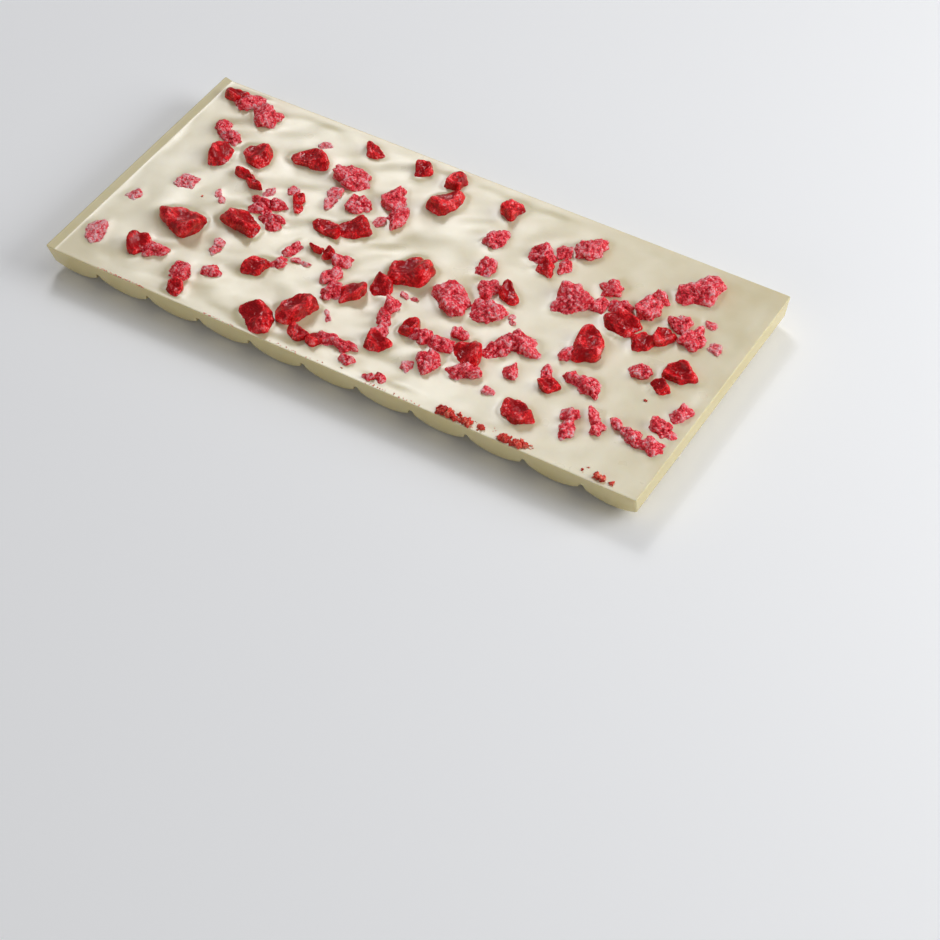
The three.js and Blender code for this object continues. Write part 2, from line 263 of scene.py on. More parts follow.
@dataclass
class Fragment:
    """One broken piece of raspberry: where it lies, its size and the cuts that bound it."""

    OUTLINE_WAVES: ClassVar[tuple[int, ...]] = (3, 5)
    SEAT_DEPTH: ClassVar[float] = 1.1
    SEAT_TAPER: ClassVar[float] = 0.35
    SINK: ClassVar[float] = 0.2
    SHOWN_FROM: ClassVar[float] = -0.05
    LEVEL_BAND: ClassVar[float] = 0.12

    kind: Kind
    x: float
    y: float
    heading: float
    length: float
    breadth: float
    normals: np.ndarray
    distances: np.ndarray
    phases: list[float]
    foot: tuple[np.ndarray, np.ndarray] | None = None

    @property
    def height(self) -> float:
        """The height over the chocolate."""
        return self.kind.value.base_height + self.kind.value.height_share * self.breadth

    def shape(self, ball: np.ndarray) -> np.ndarray:
        """Shapes the piece from a unit ball.

        Args:
            ball: Unit vectors.

        Returns:
            Its points before any relief, at true size round its own middle.
        """
        facing = np.maximum(ball @ self.normals.T, 0.0) / self.distances
        reach = (facing**self.kind.value.sharpness).sum(axis=1) ** (-1 / self.kind.value.sharpness)
        azimuth = np.arctan2(ball[:, 1], ball[:, 0])
        waves = zip(self.OUTLINE_WAVES, self.phases)
        wave = sum(np.cos(count * azimuth + phase) for count, phase in waves)
        reach *= 1 + self.kind.value.waviness * np.hypot(ball[:, 0], ball[:, 1]) * wave
        points = ball * reach[:, None]
        points[:, :2] *= 1 - self.SEAT_TAPER * np.maximum(0.0, -points[:, 2:])
        shown = points[points[:, 2] > self.SHOWN_FROM]
        low, high = shown.min(axis=0), shown.max(axis=0)
        points[:, 0] = ((points[:, 0] - low[0]) / (high[0] - low[0]) - 0.5) * self.length
        points[:, 1] = ((points[:, 1] - low[1]) / (high[1] - low[1]) - 0.5) * self.breadth
        over = points[:, 2] > 0
        points[over, 2] *= (self.height + self.SINK) / high[2]
        points[~over, 2] *= self.SEAT_DEPTH
        return points

    def measure_foot(self, ball: np.ndarray) -> None:
        """Notes how far the piece's outline reaches in each heading.

        Args:
            ball: Unit vectors.
        """
        level = self.shape(ball)[np.abs(ball[:, 2]) < self.LEVEL_BAND]
        headings = np.arctan2(level[:, 1], level[:, 0])
        order = np.argsort(headings)
        self.foot = headings[order], np.hypot(level[order, 0], level[order, 1])

    def gap_to(self, x: np.ndarray, y: np.ndarray) -> np.ndarray:
        """How far points lie outside the piece's outline.

        Args:
            x: Places along the bar.
            y: Places across the bar.

        Returns:
            The distance to the outline, below zero inside it.
        """
        away_x, away_y = x - self.x, y - self.y
        headings = np.arctan2(away_y, away_x) - self.heading
        return np.hypot(away_x, away_y) - np.interp(headings, *self.foot, period=math.tau)


@dataclass
class Scatter:
    """All the raspberry on the bar, broken and laid by one series of draws."""

    seed: int = 4127
    side_cut_distance: tuple[float, float] = (0.65, 1.0)
    top_cut_distance: tuple[float, float] = (0.45, 0.7)
    side_cut_shift: tuple[float, float] = (-0.35, 0.35)
    side_cut_lean: tuple[float, float] = (-0.2, 0.55)
    top_cut_lean: tuple[float, float] = (0.75, 1.45)
    outline_points: int = 2600
    run_slack: float = 0.2
    run_growth: float = 1.06
    run_place: tuple[float, float] = (-0.1, 0.2)
    run_overlap: float = 1.3
    run_shift: tuple[float, float] = (-0.15, 0.15)
    run_turn: tuple[float, float] = (-0.45, 0.45)
    run_breadth: tuple[float, float] = (0.85, 1.1)
    fragments: list[Fragment] = field(default_factory=list)

    def __post_init__(self) -> None:
        """Breaks and lays every run in its order."""
        self.series = Series(self.seed)
        self.ball, _ = unit_ball(self.outline_points)
        for kind, runs in zip(Kind, (CHUNK_RUNS, CRUMBLE_RUNS, FLAKE_RUNS)):
            for run in runs:
                self.lay_run(kind, *run)

    def draw_cut(
        self, turn: float, lean: float, limits: tuple[float, float]
    ) -> tuple[tuple[float, float, float], float]:
        """Draws one flat cut.

        Args:
            turn: The heading that the cut faces along.
            lean: How far it faces up, both in radians.
            limits: How near and how far it may stand from the piece's middle.

        Returns:
            The cut's unit normal and its distance.
        """
        level = math.cos(lean)
        normal = (math.cos(turn) * level, math.sin(turn) * level, math.sin(lean))
        return normal, self.series.between(*limits)

    def break_piece(
        self, kind: Kind, x: float, y: float, heading: float, length: float, breadth: float
    ) -> None:
        """Breaks one piece and lays it.

        Args:
            kind: How it breaks.
            x: Its place along the bar.
            y: Its place across the bar.
            heading: Its heading in radians.
            length: Its length.
            breadth: Its breadth.
        """
        cuts = [((0.0, 0.0, -1.0), 1.0)]
        for i in range(kind.value.side_cuts):
            turn = (i + self.series.between(*self.side_cut_shift)) * math.tau / kind.value.side_cuts
            lean = self.series.between(*self.side_cut_lean)
            cuts.append(self.draw_cut(turn, lean, self.side_cut_distance))
        for _ in range(kind.value.top_cuts):
            turn = self.series.draw() * math.tau
            lean = self.series.between(*self.top_cut_lean)
            cuts.append(self.draw_cut(turn, lean, self.top_cut_distance))
        normals = np.array([normal for normal, _ in cuts])
        distances = np.array([distance for _, distance in cuts])
        phases = [self.series.draw() * math.tau for _ in Fragment.OUTLINE_WAVES]
        piece = Fragment(kind, x, y, heading, length, breadth, normals, distances, phases)
        piece.measure_foot(self.ball)
        self.fragments.append(piece)

    def lay_run(
        self, kind: Kind, x: float, y: float, degrees: float, reach: float, breadth: float
    ) -> None:
        """Lays the pieces of one run end to end: one piece where the run is short and broad.

        Args:
            kind: How its pieces break.
            x: The run's middle along the bar.
            y: The run's middle across the bar.
            degrees: Its heading.
            reach: Its length.
            breadth: Its breadth.
        """
        heading = math.radians(degrees)
        count = max(1, math.floor(reach / breadth - self.run_slack + 0.5))
        x, y = x + self.run_place[0], y + self.run_place[1]
        reach, breadth = reach * self.run_growth, breadth * self.run_growth
        if count == 1:
            self.break_piece(kind, x, y, heading, reach, breadth)
            return
        for i in range(count):
            along = reach * ((i + 0.5) / count - 0.5)
            aside = self.series.between(*self.run_shift) * breadth
            place_x = x + along * math.cos(heading) - aside * math.sin(heading)
            place_y = y + along * math.sin(heading) + aside * math.cos(heading)
            turned = heading + self.series.between(*self.run_turn)
            own_length = reach / count * self.run_overlap
            own_breadth = breadth * self.series.between(*self.run_breadth)
            self.break_piece(kind, place_x, place_y, turned, own_length, own_breadth)


@dataclass(frozen=True)
class ChocolateFinish:
    """White chocolate, in one of the finishes that casting it in a mould gives."""

    name: str
    colour: tuple[float, float, float]
    pale: tuple[float, float, float]
    roughness: tuple[float, float]
    ripple: float
    gloss: float
    glow: tuple[float, float, float] = (1.0, 0.72, 0.32)
    glow_reach: float = 0.002
    glow_share: float = 0.25
    refraction: float = 1.46
    cloud_scale: float = 38.0
    fine_cloud_scale: float = 150.0
    fine_cloud_share: float = 0.5
    cloud_range: tuple[float, float] = (0.6, 0.92)
    smear_scale: float = 120.0
    smear_range: tuple[float, float] = (0.3, 0.7)
    ripple_scale: float = 480.0
    ripple_depth: float = 0.00004

    def material(self) -> bpy.types.Material:
        """Returns the material, with cloudy tone, uneven gloss and fine ripples."""
        made = Nodes(self.name)
        made.shader.inputs["Subsurface Weight"].default_value = self.glow_share
        made.shader.inputs["Subsurface Radius"].default_value = self.glow
        made.shader.inputs["Subsurface Scale"].default_value = self.glow_reach
        made.shader.inputs["IOR"].default_value = self.refraction
        made.shader.inputs["Specular IOR Level"].default_value = self.gloss
        fine_cloud = made.noise(scale=self.fine_cloud_scale, detail=3.0)
        broad_cloud = made.noise(scale=self.cloud_scale, detail=3.0)
        cloud = made.math("MULTIPLY_ADD", fine_cloud, self.fine_cloud_share, broad_cloud)
        made.link(made.ramp(cloud, tuple(zip(self.cloud_range, (self.colour, self.pale)))), "Base Color")
        smear = made.noise(scale=self.smear_scale, detail=3.0)
        made.link(made.spread(smear, *self.smear_range, *self.roughness), "Roughness")
        ripples = made.noise(scale=self.ripple_scale, detail=4.0)
        made.bump(ripples, strength=self.ripple, depth=self.ripple_depth)
        return made.material


class ChocolateFace(Enum):
    """The bar's finishes: satin where it was poured, glossy where moulded, and dull along the rim.

    The moulded finish's more olive colour is partly its own and partly painted shade and warm
    bounce light; the rim's darker colour is painted shade.
    """

    POURED = ChocolateFinish(
        "poured_back", colour=(0.625, 0.54, 0.33), pale=(0.705, 0.63, 0.435),
        roughness=(0.27, 0.32), ripple=0.2, gloss=0.75,
    )
    # Its more olive colour is partly the moulded finish's own and partly painted shade and warm bounce
    # light on the walls and underside.
    MOULDED = ChocolateFinish(
        "moulded_face", colour=(0.68, 0.575, 0.29), pale=(0.71, 0.61, 0.33),
        roughness=(0.2, 0.24), ripple=0.05, gloss=0.55,
    )
    # Its darker colour is painted shade on the band along the left end's rim; its dullness is real.
    RIM = ChocolateFinish(
        "rim", colour=(0.56, 0.485, 0.27), pale=(0.6, 0.525, 0.31),
        roughness=(0.38, 0.43), ripple=0.05, gloss=0.35,
    )


@dataclass(frozen=True)
class RaspberryFinish:
    """Freeze-dried raspberry: deep crimson skin, and frosted pink where it is broken."""

    name: str
    deep: tuple[float, float, float]
    mid: tuple[float, float, float]
    # The palest colour: real frost on broken flesh, and painted glints on the grains' tops.
    frosted: tuple[float, float, float]
    roughness: float
    gloss: float
    crystal_depth: float
    speckle: float
    crystal_scale: float = 2300.0
    glow: tuple[float, float, float] = (1.0, 0.18, 0.14)
    glow_reach: float = 0.0012
    glow_share: float = 0.25
    refraction: float = 1.45
    gap_share: float = -0.6
    tone_share: float = 0.5
    fibre_share: float = 1.3
    fibre_fineness: float = 0.5
    grain_middle: float = -0.59
    mid_place: float = 0.45
    roughness_rise: float = 0.12
    fibre_height: float = 1.6
    gap_height: float = -1.2

    def material(self) -> bpy.types.Material:
        """Returns the material, whose colour follows the frost that each point carries and its fine
        grains: paler on their tops and darker in their gaps, as painted glints and painted shade over the
        real frost and tone.
        """
        made = Nodes(self.name)
        made.shader.inputs["Specular IOR Level"].default_value = self.gloss
        made.shader.inputs["Subsurface Weight"].default_value = self.glow_share
        made.shader.inputs["Subsurface Radius"].default_value = self.glow
        made.shader.inputs["Subsurface Scale"].default_value = self.glow_reach
        made.shader.inputs["IOR"].default_value = self.refraction
        # The frost attribute holds real frost and, for the broken pieces, painted shade and highlight.
        frost = made.attribute("frost")
        distance, tone = made.crystals(self.crystal_scale)
        fibre = made.noise(scale=self.crystal_scale * self.fibre_fineness, detail=3.0)
        # Painted shade and glints: the colour follows the grains' gaps and fibre as the bump does, darker
        # in the gaps and paler on the tops, over each grain's own random tone.
        grains = made.math("MULTIPLY", tone, self.tone_share)
        grains = made.math("MULTIPLY_ADD", distance, self.gap_share, grains)
        grains = made.math("MULTIPLY_ADD", fibre, self.fibre_share, grains)
        grains = made.math("ADD", grains, self.grain_middle)
        level = made.math("MULTIPLY_ADD", grains, self.speckle, frost)
        stops = ((0.0, self.deep), (self.mid_place, self.mid), (1.0, self.frosted))
        made.link(made.ramp(level, stops), "Base Color")
        dullest = self.roughness + self.roughness_rise
        made.link(made.spread(level, 0.0, 1.0, self.roughness, dullest), "Roughness")
        height = made.math("MULTIPLY_ADD", fibre, self.fibre_height, tone)
        height = made.math("MULTIPLY_ADD", distance, self.gap_height, height)
        made.bump(height, strength=1.0, depth=self.crystal_depth)
        return made.material


class RaspberryFace(Enum):
    """The finishes of raspberry: wet skin, broken flesh, thin dusty flakes and powder."""

    SKIN = RaspberryFinish(
        "raspberry_skin", deep=(0.4, 0.0, 0.003), mid=(1.0, 0.022, 0.029), frosted=(1.0, 0.46, 0.47),
        roughness=0.12, gloss=0.42, crystal_depth=0.00005, speckle=0.6,
    )
    BROKEN = RaspberryFinish(
        "raspberry_broken", deep=(0.44, 0.0, 0.008), mid=(1.0, 0.038, 0.066), frosted=(1.0, 0.51, 0.54),
        roughness=0.15, gloss=0.5, crystal_depth=0.00016, speckle=0.75, crystal_scale=2100.0,
    )
    DUSTY = RaspberryFinish(
        "raspberry_dusty", deep=(0.66, 0.01, 0.028), mid=(0.96, 0.09, 0.118), frosted=(1.0, 0.54, 0.56),
        roughness=0.26, gloss=0.45, crystal_depth=0.00016, speckle=0.85,
    )
    POWDER = RaspberryFinish(
        "raspberry_powder", deep=(0.5, 0.012, 0.008), mid=(0.9, 0.05, 0.025), frosted=(1.0, 0.34, 0.22),
        roughness=0.3, gloss=0.5, crystal_depth=0.00015, speckle=1.0,
    )


class Nodes:
    """A material under construction, with short ways to add its nodes."""

    def __init__(self, name: str) -> None:
        """Starts a material.

        Args:
            name: The material's name.
        """
        self.material = bpy.data.materials.new(name)
        self.material.use_nodes = True
        self.tree = self.material.node_tree
        self.shader = self.tree.nodes["Principled BSDF"]
        self.place = self.tree.nodes.new("ShaderNodeTexCoord").outputs["Object"]

    def link(self, source: bpy.types.NodeSocket, target: str) -> None:
        """Joins a socket to one of the shader's own.

        Args:
            source: Where the value comes from.
            target: The name of the shader's socket.
        """
        self.tree.links.new(source, self.shader.inputs[target])

    def noise(self, scale: float, detail: float) -> bpy.types.NodeSocket:
        """Adds cloudy noise.

        Args:
            scale: How many swells there are in a metre.
            detail: How many finer layers lie over it.

        Returns:
            The noise's value.
        """
        cloud = self.tree.nodes.new("ShaderNodeTexNoise")
        cloud.inputs["Scale"].default_value = scale
        cloud.inputs["Detail"].default_value = detail
        self.tree.links.new(self.place, cloud.inputs["Vector"])
        return cloud.outputs["Fac"]

    def crystals(self, scale: float) -> tuple[bpy.types.NodeSocket, bpy.types.NodeSocket]:
        """Adds a mass of grains.

        Args:
            scale: How many grains there are in a metre.

        Returns:
            The distance from the nearest grain's middle, and a tone that each grain has of its own.
        """
        grains = self.tree.nodes.new("ShaderNodeTexVoronoi")
        grains.inputs["Scale"].default_value = scale
        self.tree.links.new(self.place, grains.inputs["Vector"])
        return grains.outputs["Distance"], self.math("ADD", grains.outputs["Color"], 0.0)

    def attribute(self, name: str) -> bpy.types.NodeSocket:
        """Reads a value that each point of the mesh carries.

        Args:
            name: The attribute's name.

        Returns:
            Its value.
        """
        reader = self.tree.nodes.new("ShaderNodeAttribute")
        reader.attribute_name = name
        return reader.outputs["Fac"]

    def math(self, operation: str, *values: bpy.types.NodeSocket | float) -> bpy.types.NodeSocket:
        """Adds a sum.

        Args:
            operation: The sum's name in Blender.
            values: Sockets or plain numbers, in order.

        Returns:
            The result.
        """
        node = self.tree.nodes.new("ShaderNodeMath")
        node.operation = operation
        for slot, value in zip(node.inputs, values):
            if isinstance(value, bpy.types.NodeSocket):
                self.tree.links.new(value, slot)
            else:
                slot.default_value = value
        return node.outputs["Value"]

    def spread(
        self, value: bpy.types.NodeSocket, low: float, high: float, start: float, end: float
    ) -> bpy.types.NodeSocket:
        """Maps one range onto another.

        Args:
            value: What is mapped.
            low: Where the old range starts.
            high: Where it ends.
            start: Where the new range starts.
            end: Where it ends.

        Returns:
            The mapped value.
        """
        node = self.tree.nodes.new("ShaderNodeMapRange")
        for name, number in (("From Min", low), ("From Max", high), ("To Min", start), ("To Max", end)):
            node.inputs[name].default_value = number
        self.tree.links.new(value, node.inputs["Value"])
        return node.outputs["Result"]

    def ramp(self, value: bpy.types.NodeSocket, stops: tuple) -> bpy.types.NodeSocket:
        """Turns a value into a colour.

        Args:
            value: From 0 to 1.
            stops: The places of the colours and the colours.

        Returns:
            The colour.
        """
        node = self.tree.nodes.new("ShaderNodeValToRGB")
        elements = node.color_ramp.elements
        while len(elements) < len(stops):
            elements.new(0.5)
        for element, (place, colour) in zip(elements, stops):
            element.position = place
            element.color = (*colour, 1.0)
        self.tree.links.new(value, node.inputs["Fac"])
        return node.outputs["Color"]

    def bump(self, value: bpy.types.NodeSocket, strength: float, depth: float) -> None:
        """Roughens the surface.

        Args:
            value: The height of the relief.
            strength: Its strength from 0 to 1.
            depth: Its real depth in metres.
        """
        node = self.tree.nodes.new("ShaderNodeBump")
        node.inputs["Strength"].default_value = strength
        node.inputs["Distance"].default_value = depth
        self.tree.links.new(value, node.inputs["Height"])
        self.link(node.outputs["Normal"], "Normal")


@dataclass(frozen=True)
class Swell:
    """One layer of soft waves over the poured back."""

    along: float
    across: float
    slant: float
    layer: float
    height: float

    def at(self, x: float, y: float) -> float:
        """Returns the layer's height at a place on the back."""
        along, across = (x + self.slant * y) / self.along, (y - self.slant * x) / self.across
        return self.height * noise.noise(Vector((along, across, self.layer)))


@dataclass
class ChocolateSlab:
    """The moulded bar: a poured back with a rim at its left end, a ribbed face and an oval plaque."""

    scatter: Scatter
    length: float = 162.0
    width: float = 74.0
    thickness: float = 7.9
    ridge_count: int = 11
    ridge_height: float = 2.1
    groove_width: float = 2.0
    groove_depth: float = 1.7
    groove_fullness: float = 2.4
    side_draft: float = math.tan(math.radians(15))
    end_draft: float = math.tan(math.radians(5))
    rim_height: float = 0.4
    rim_top: float = 0.5
    rim_foot: float = 2.4
    plaque_length: float = 58.0
    plaque_width: float = 34.0
    plaque_proud: float = 0.5
    plaque_root: float = 5.0
    plaque_flare: float = 1.05
    plaque_edge: float = 0.35
    plaque_sides: int = 144
    plaque_edge_steps: int = 5
    back_edge: float = 0.22
    mould_edge: float = 0.3
    corner: float = 0.45
    ridge_steps: int = 22
    groove_steps: int = 8
    across_step: float = 0.62
    wall_levels: int = 8
    edge_steps: tuple[float, ...] = (0.0, 0.04, 0.13, 0.27, 0.45, 0.8, 1.2, 1.7, 2.3, 3.0)
    broad_swell: Swell = Swell(along=17.0, across=13.0, slant=0.0, layer=3.1, height=0.46)
    small_swell: Swell = Swell(along=9.0, across=5.5, slant=0.5, layer=8.4, height=0.22)
    calm_share: float = 0.35
    lively_share: float = 0.85
    lively_until: float = 40.0
    lively_fade: float = 30.0
    lively_from: float = -76.0
    lively_rise: float = 18.0
    level_edge: float = 1.6
    level_fade: float = 3.0
    climb_reach: float = 12.0
    climb_share: float = 0.07
    climb_width: float = 0.75
    climb_edge: float = 0.6
    climb_fade: float = 2.0
    poured_depth: float = 1.5
    facing_up: float = 0.5
    sharp_degrees: float = 38.0

    @property
    def back_z(self) -> float:
        """The height of the rim at the left end."""
        return self.plaque_proud + self.thickness

    @property
    def bed_z(self) -> float:
        """The height of the back inside its rim."""
        return self.back_z - self.rim_height

    @property
    def pitch(self) -> float:
        """The distance from ridge to ridge."""
        return (self.length + self.groove_width) / self.ridge_count

    @property
    def poured_from(self) -> float:
        """The height over which faces that look up belong to the poured back."""
        return self.bed_z - self.poured_depth

    def stations(self) -> np.ndarray:
        """Returns the places along the bar where its cross-sections stand."""
        chord = self.pitch - self.groove_width
        places = []
        for ridge in range(self.ridge_count):
            start = -self.length / 2 + ridge * self.pitch
            places.extend(start + chord * step / self.ridge_steps for step in range(self.ridge_steps))
            if ridge < self.ridge_count - 1:
                groove = start + chord
                places.extend(groove + self.groove_width * step / self.groove_steps
                              for step in range(self.groove_steps))
        places.append(self.length / 2)
        edges = [self.length / 2 - step for step in self.edge_steps[1:]]
        inner = [place for place in places if abs(place) < self.length / 2 - self.edge_steps[-1]]
        return np.array(sorted([*inner, *edges, *(-e for e in edges), self.length / 2, -self.length / 2]))

    def shares_across(self) -> np.ndarray:
        """Returns the places across the bar, from -1 at one long side to 1 at the other."""
        half = self.width / 2
        inner = np.linspace(0.0, half - self.edge_steps[-1], round(half / self.across_step))
        outer = half - np.array(self.edge_steps[-2::-1])
        positive = np.concatenate([inner, outer])
        return np.concatenate([-positive[:0:-1], positive]) / half

    def moulded_z(self, x: np.ndarray) -> np.ndarray:
        """The height of the ribbed face along the bar.

        Args:
            x: Places along the bar.

        Returns:
            The height, lowest on the crests.
        """
        chord = self.pitch - self.groove_width
        radius = ((chord / 2) ** 2 + self.ridge_height**2) / (2 * self.ridge_height)
        place = np.mod(x + self.length / 2, self.pitch)
        place = np.where(x >= self.length / 2 - TINY, chord, place)
        off_crest = np.clip(place - chord / 2, -chord / 2, chord / 2)
        arc = self.plaque_proud + radius - np.sqrt(radius**2 - off_crest**2)
        off_groove = np.abs(np.clip((place - chord) / (self.groove_width / 2) - 1.0, -1.0, 1.0))
        return arc + self.groove_depth * (1.0 - off_groove**self.groove_fullness) * (place > chord)

    def inward(self, x: np.ndarray, y: np.ndarray) -> np.ndarray:
        """Returns how far places on the back lie in from its nearest edge."""
        return np.minimum(self.length / 2 - np.abs(x), self.width / 2 - np.abs(y))

    def undulation(self, x: np.ndarray, y: np.ndarray) -> np.ndarray:
        """The soft puddles of the poured back, calmer towards the right end and at the edges.

        Args:
            x: Places along the bar.
            y: Places across the bar.

        Returns:
            Heights over the even back.
        """
        places = zip(x.ravel(), y.ravel())
        height = [self.broad_swell.at(*place) + self.small_swell.at(*place) for place in places]
        height = np.reshape(height, x.shape)
        fade = smooth_step((self.lively_until - x) / self.lively_fade)
        rise = smooth_step((x - self.lively_from) / self.lively_rise)
        lively = self.calm_share + self.lively_share * fade * rise
        return lively * height * smooth_step((self.inward(x, y) - self.level_edge) / self.level_fade)

    def meniscus(self, x: np.ndarray, y: np.ndarray) -> np.ndarray:
        """How the chocolate climbs round each piece of raspberry.

        Args:
            x: Places along the bar.
            y: Places across the bar.

        Returns:
            Heights over the puddled back.
        """
        climb = np.zeros(x.shape)
        for piece in self.scatter.fragments:
            near = (np.abs(x - piece.x) < self.climb_reach) & (np.abs(y - piece.y) < self.climb_reach)
            gap = np.maximum(piece.gap_to(x[near], y[near]), 0.0)
            climbed = self.climb_share * piece.height * np.exp(-gap / self.climb_width)
            climb[near] = np.maximum(climb[near], climbed)
        return climb * smooth_step((self.inward(x, y) - self.climb_edge) / self.climb_fade)

    def back_height(self, x: np.ndarray, y: np.ndarray) -> np.ndarray:
        """The height of the poured back.

        Args:
            x: Places along the bar.
            y: Places across the bar.

        Returns:
            The surface's height, with its rim and rounded edge.
        """
        from_end = x + self.length / 2
        up_slope = (self.rim_foot - from_end) / (self.rim_foot - self.rim_top)
        rim = self.rim_height * np.clip(up_slope, 0.0, 1.0)
        poured = self.undulation(x, y) + self.meniscus(x, y)
        return self.bed_z + rim + poured - edge_drop(self.inward(x, y), self.back_edge)

    def taper(self, points: np.ndarray) -> np.ndarray:
        """Narrows the bar towards its moulded face.

        Args:
            points: Points of the untapered bar.

        Returns:
            The points, drawn in by the mould's draft.
        """
        drop = self.back_z - points[:, 2]
        points[:, 0] *= 1 - self.end_draft * drop / (self.length / 2)
        points[:, 1] *= 1 - self.side_draft * drop / (self.width / 2)
        return points

    def shell(self) -> tuple[np.ndarray, list]:
        """Makes the bar's closed skin without its plaque.

        Returns:
            The vertices and the faces.
        """
        xs, shares = self.stations(), self.shares_across()
        end_gap = self.length / 2 - np.abs(xs)
        half = self.width / 2 - edge_drop(end_gap, self.corner)
        grid_x, grid_share = np.meshgrid(xs, shares, indexing="ij")
        grid_y = grid_share * half[:, None]
        top = self.back_height(grid_x, grid_share * self.width / 2)
        side_gap = (1 - np.abs(grid_share)) * self.width / 2
        edge_gap = np.minimum(end_gap[:, None], side_gap)
        bottom = self.moulded_z(grid_x) + edge_drop(edge_gap, self.mould_edge)
        rows, columns, levels = len(xs), len(shares), self.wall_levels
        number: dict[tuple[int, int, int], int] = {}
        points: list[tuple[float, float, float]] = []

        def corner(i: int, j: int, k: int) -> int:
            """Returns the number of the vertex at station i, place j and level k."""
            if (i, j, k) not in number:
                number[i, j, k] = len(points)
                z = bottom[i, j] + (top[i, j] - bottom[i, j]) * k / levels
                points.append((grid_x[i, j], grid_y[i, j], z))
            return number[i, j, k]

        faces = []
        for i in range(rows - 1):
            for j in range(columns - 1):
                faces.append([corner(i, j, levels), corner(i + 1, j, levels),
                              corner(i + 1, j + 1, levels), corner(i, j + 1, levels)])
                faces.append([corner(i, j, 0), corner(i, j + 1, 0),
                              corner(i + 1, j + 1, 0), corner(i + 1, j, 0)])
        for k in range(levels):
            for i in range(rows - 1):
                last = columns - 1
                faces.append([corner(i, 0, k), corner(i + 1, 0, k),
                              corner(i + 1, 0, k + 1), corner(i, 0, k + 1)])
                faces.append([corner(i, last, k), corner(i, last, k + 1),
                              corner(i + 1, last, k + 1), corner(i + 1, last, k)])
            for j in range(columns - 1):
                last = rows - 1
                faces.append([corner(0, j, k), corner(0, j, k + 1),
                              corner(0, j + 1, k + 1), corner(0, j + 1, k)])
                faces.append([corner(last, j, k), corner(last, j + 1, k),
                              corner(last, j + 1, k + 1), corner(last, j, k + 1)])
        return self.taper(np.array(points)), faces

    def plaque(self) -> tuple[np.ndarray, list]:
        """Makes the oval plaque, from its rounded face edge up into the bar.

        Returns:
            The vertices and the faces.
        """
        half_length, half_width = self.plaque_length / 2, self.plaque_width / 2
        profile = [(-self.plaque_edge * (1 - math.sin(turn)), self.plaque_edge * (1 - math.cos(turn)))
                   for turn in np.linspace(0, math.pi / 2, self.plaque_edge_steps)]
        profile.append(((self.plaque_flare - 1) * half_width, self.plaque_root))
        points = []
        for out, z in profile:
            for side in range(self.plaque_sides):
                angle = math.tau * side / self.plaque_sides
                x, y = (half_length + out) * math.cos(angle), (half_width + out) * math.sin(angle)
                points.append((x, y, z))
        sides, rings = self.plaque_sides, len(profile)
        faces = [list(range(sides - 1, -1, -1)), list(range((rings - 1) * sides, rings * sides))]
        for ring in range(rings - 1):
            for side in range(sides):
                after = (side + 1) % sides
                low, high = ring * sides, (ring + 1) * sides
                faces.append([low + side, low + after, high + after, high + side])
        return np.array(points), faces

    def build(self) -> bpy.types.Object:
        """Returns the finished bar, the plaque joined to it in one closed mesh."""
        # Every face starts with the moulded finish, whose more olive colour is partly painted shade and
        # warm bounce light.
        poured, moulded, rim = (face.value.material() for face in ChocolateFace)
        slab = make_object("chocolate_slab", *self.shell(), moulded)
        oval = make_object("plaque_tool", *self.plaque(), moulded)
        join = slab.modifiers.new("plaque", "BOOLEAN")
        join.operation = "UNION"
        join.solver = "EXACT"
        join.object = oval
        bpy.context.view_layer.update()
        shaped = slab.evaluated_get(bpy.context.evaluated_depsgraph_get())
        joined = bpy.data.meshes.new_from_object(shaped)
        slab.modifiers.clear()
        slab.data = joined
        bpy.data.objects.remove(oval)
        joined.materials.append(poured)
        joined.materials.append(rim)
        # Up-facing faces left of the rim's foot take the rim finish, whose darker colour is painted
        # shade.
        poured_slot, rim_slot = 1, 2
        rim_end = (self.rim_foot - self.length / 2) * MM
        for face in joined.polygons:
            if face.normal.z > self.facing_up and face.center.z > self.poured_from * MM:
                face.material_index = poured_slot if face.center.x > rim_end else rim_slot
        joined.shade_smooth()
        joined.set_sharp_from_angle(angle=math.radians(self.sharp_degrees))
        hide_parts(BAR_NODE)
        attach(slab, BODY)
        return slab


def make_raspberry(name: str, face: RaspberryFace, bodies: list) -> bpy.types.Object:
    """Joins broken bodies of raspberry into one smooth mesh, whose points carry their frost, which for
    the broken pieces also holds painted shade and highlight.

    Args:
        name: The piece's name.
        face: How it is finished.
        bodies: The points, the faces and the frost of each body.

    Returns:
        The new piece.
    """
    points, faces, frosts, start = [], [], [], 0
    for body, body_faces, frost in bodies:
        points.append(body)
        frosts.append(frost)
        faces.extend([[start + v for v in corners] for corners in body_faces])
        start += len(body)
    made = make_object(name, np.concatenate(points), faces, face.value.material())
    layer = made.data.attributes.new("frost", "FLOAT", "POINT")
    layer.data.foreach_set("value", np.concatenate(frosts).astype(np.float32))
    made.data.shade_smooth()
    return made


